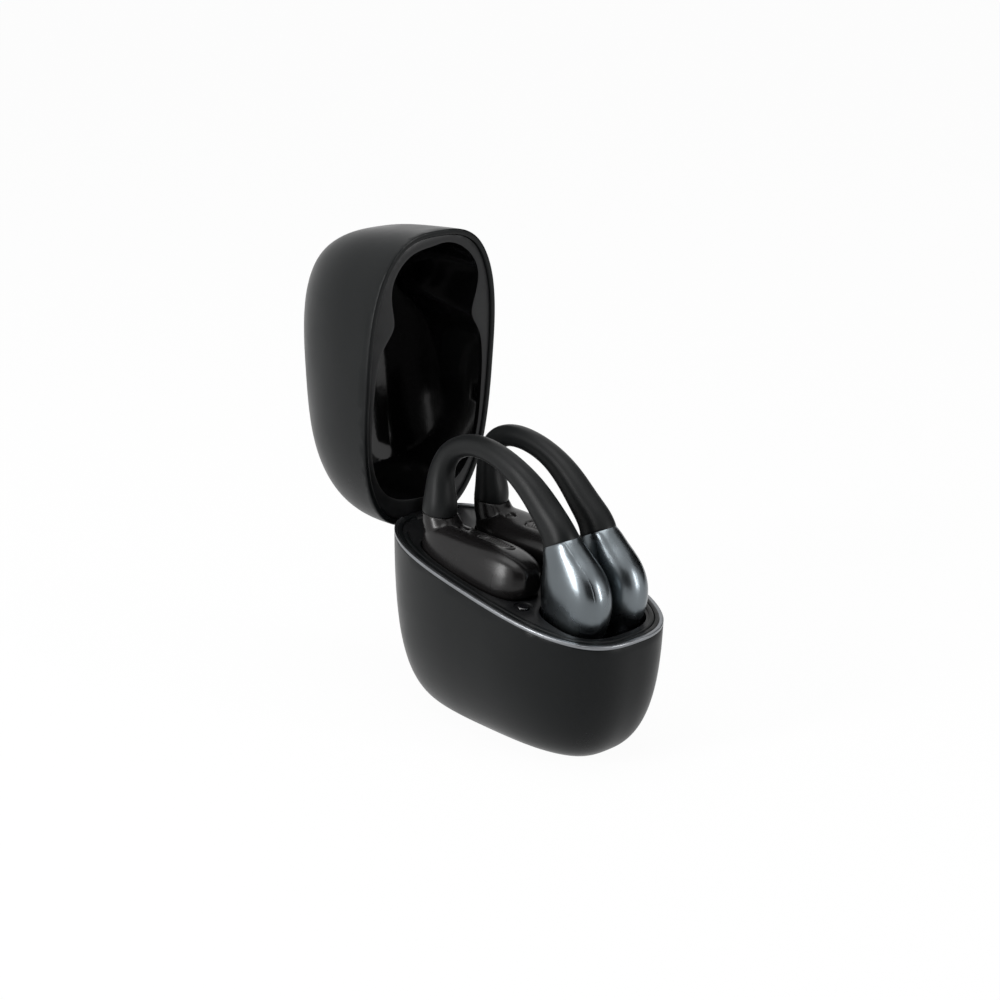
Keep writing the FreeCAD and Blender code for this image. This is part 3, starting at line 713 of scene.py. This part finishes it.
@dataclass
class Studio:
    """Pale floor, white surroundings, soft boxes, flags and the camera."""

    camera_place: tuple[float, float, float] = (-0.271898, -0.291713, 0.178384)
    camera_aim: tuple[float, float, float] = (-0.016046, -0.009685, 0.055912)
    lens: float = 72.205
    sensor: float = 36.0
    fill: float = 0.35
    floor_half: float = 3.0
    floor_squares: int = 4
    floor_color: tuple[float, float, float, float] = (0.9, 0.9, 0.9, 1.0)
    floor_roughness: float = 0.8
    floor_glow: float = 0.96
    flag_color: tuple[float, float, float, float] = (0.01, 0.01, 0.01, 1.0)
    case_middle: tuple[float, float, float] = (0.0, 0.0, 0.05)
    flags: tuple[Flag, ...] = (
        Flag("front_flag", (-0.45, -0.50, 0.16), 0.36),
        Flag("side_flag", (0.50, -0.12, 0.20), 0.28))
    softboxes: tuple[Softbox, ...] = (
        Softbox("left_softbox", (-0.62, 0.12, 0.25), (0.13, 0.5), 4.0),
        Softbox("right_softbox", (0.25, -0.66, 0.22), (0.09, 0.4), 2.4),
        Softbox("top_softbox", (-0.1, 0.0, 0.75), (0.5, 0.5), 2.4))

    @staticmethod
    def _facing(place: tuple[float, float, float], goal: tuple[float, float, float],
                axis: str) -> Quaternion:
        """Turn that points an axis from a place to a goal.

        Args:
            place: Where the thing stands.
            goal: What it faces.
            axis: Its own axis that points there.

        Returns:
            The turn.
        """
        return (Vector(goal) - Vector(place)).to_track_quat(axis, "Y")

    @staticmethod
    def _panel(name: str, mesh: bmesh.types.BMesh) -> bpy.types.Object:
        """Turn a bmesh into a staged panel with a node material of its own.

        Args:
            name: Name of the panel and its material.
            mesh: Shape of the panel.

        Returns:
            The panel.
        """
        data = bpy.data.meshes.new(name)
        mesh.to_mesh(data)
        mesh.free()
        panel = bpy.data.objects.new(name, data)
        bpy.context.scene.collection.objects.link(panel)
        material = bpy.data.materials.new(name)
        material.use_nodes = True
        data.materials.append(material)
        return panel

    @staticmethod
    def _seen_directly(tree: bpy.types.NodeTree) -> bpy.types.NodeSocket:
        """One for camera, glossy and transmission rays.

        Args:
            tree: Node tree that takes the nodes.

        Returns:
            Socket with the value.
        """
        path = tree.nodes.new("ShaderNodeLightPath")
        value = path.outputs["Is Camera Ray"]
        for ray in ("Is Glossy Ray", "Is Transmission Ray"):
            either = tree.nodes.new("ShaderNodeMath")
            either.operation = "MAXIMUM"
            tree.links.new(value, either.inputs[0])
            tree.links.new(path.outputs[ray], either.inputs[1])
            value = either.outputs["Value"]
        return value

    def floor(self) -> None:
        """Pale floor that stays white and keeps a faint shadow."""
        mesh = bmesh.new()
        bmesh.ops.create_grid(mesh, x_segments=self.floor_squares, y_segments=self.floor_squares,
                              size=self.floor_half)
        floor = self._panel("studio_floor", mesh)
        tree = floor.data.materials[0].node_tree
        shader = tree.nodes["Principled BSDF"]
        shader.inputs["Base Color"].default_value = self.floor_color
        shader.inputs["Roughness"].default_value = self.floor_roughness
        glow = tree.nodes.new("ShaderNodeEmission")
        mixed = tree.nodes.new("ShaderNodeMixShader")
        share = tree.nodes.new("ShaderNodeMath")
        share.operation = "MULTIPLY"
        share.inputs[1].default_value = self.floor_glow
        tree.links.new(self._seen_directly(tree), share.inputs[0])
        tree.links.new(share.outputs["Value"], mixed.inputs["Fac"])
        tree.links.new(shader.outputs["BSDF"], mixed.inputs[1])
        tree.links.new(glow.outputs["Emission"], mixed.inputs[2])
        tree.links.new(mixed.outputs["Shader"], tree.nodes["Material Output"].inputs["Surface"])

    def flag(self, flag: Flag) -> None:
        """Add a black flag that the camera doesn't see.

        Args:
            flag: Its name, place and size.
        """
        mesh = bmesh.new()
        bmesh.ops.create_grid(mesh, x_segments=1, y_segments=1, size=flag.half_side)
        turn = self._facing(flag.place, self.case_middle, "Z").to_matrix().to_4x4()
        bmesh.ops.transform(mesh, matrix=Matrix.Translation(flag.place) @ turn, verts=mesh.verts)
        panel = self._panel(flag.name, mesh)
        shader = panel.data.materials[0].node_tree.nodes["Principled BSDF"]
        shader.inputs["Base Color"].default_value = self.flag_color
        shader.inputs["Specular IOR Level"].default_value = 0.0
        panel.visible_camera = False

    def world(self) -> None:
        """White surroundings that give only a low fill light."""
        world = bpy.data.worlds.new("studio")
        bpy.context.scene.world = world
        world.use_nodes = True
        tree = world.node_tree
        background = tree.nodes["Background"]
        background.inputs["Color"].default_value = (1.0, 1.0, 1.0, 1.0)
        level = tree.nodes.new("ShaderNodeMapRange")
        level.inputs["To Min"].default_value = self.fill
        level.inputs["To Max"].default_value = 1.0
        tree.links.new(self._seen_directly(tree), level.inputs["Value"])
        tree.links.new(level.outputs["Result"], background.inputs["Strength"])

    def softbox(self, box: Softbox) -> None:
        """Add a soft box that faces the case.

        Args:
            box: Its name, place, size and power.
        """
        data = bpy.data.lights.new(box.name, "AREA")
        data.shape = "RECTANGLE"
        data.size, data.size_y = box.size
        data.energy = box.power
        lamp = bpy.data.objects.new(box.name, data)
        bpy.context.scene.collection.objects.link(lamp)
        lamp.location = box.place
        lamp.rotation_euler = self._facing(box.place, self.case_middle, "-Z").to_euler()

    def camera(self) -> None:
        """Camera that looks down on the case from its front left."""
        data = bpy.data.cameras.new("camera")
        data.lens = self.lens
        data.sensor_width = self.sensor
        camera = bpy.data.objects.new("camera", data)
        bpy.context.scene.collection.objects.link(camera)
        camera.location = self.camera_place
        camera.rotation_euler = self._facing(self.camera_place, self.camera_aim, "-Z").to_euler()
        bpy.context.scene.camera = camera

    def build(self) -> None:
        """Set the whole studio up."""
        self.camera()
        self.floor()
        self.world()
        for flag in self.flags:
            self.flag(flag)
        for box in self.softboxes:
            self.softbox(box)
        bpy.context.scene.view_settings.view_transform = "Standard"


def dress_nodes(shop: Workshop) -> None:
    """Give every node of the frame the finish of its slot.

    Args:
        shop: Workshop that makes the finishes.
    """
    for part in frame["record"]["subparts"]:
        node = frame["nodes"][part["node"]]
        node.data.materials.clear()
        node.data.materials.append(shop.finish(Slot(part["material_slot"])))


def main() -> None:
    """Build the studio, the case, the lid and both earbuds."""
    logging.basicConfig(level=logging.INFO, format="%(name)s: %(message)s")
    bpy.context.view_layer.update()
    Studio().build()
    shop = Workshop()
    dress_nodes(shop)
    ChargingCase(shop).build()
    Lid(shop).build()
    for body, side in ((Body.LEFT, "left"), (Body.RIGHT, "right")):
        Earbud(shop, body, side).build()


if __name__ == "__main__":
    main()
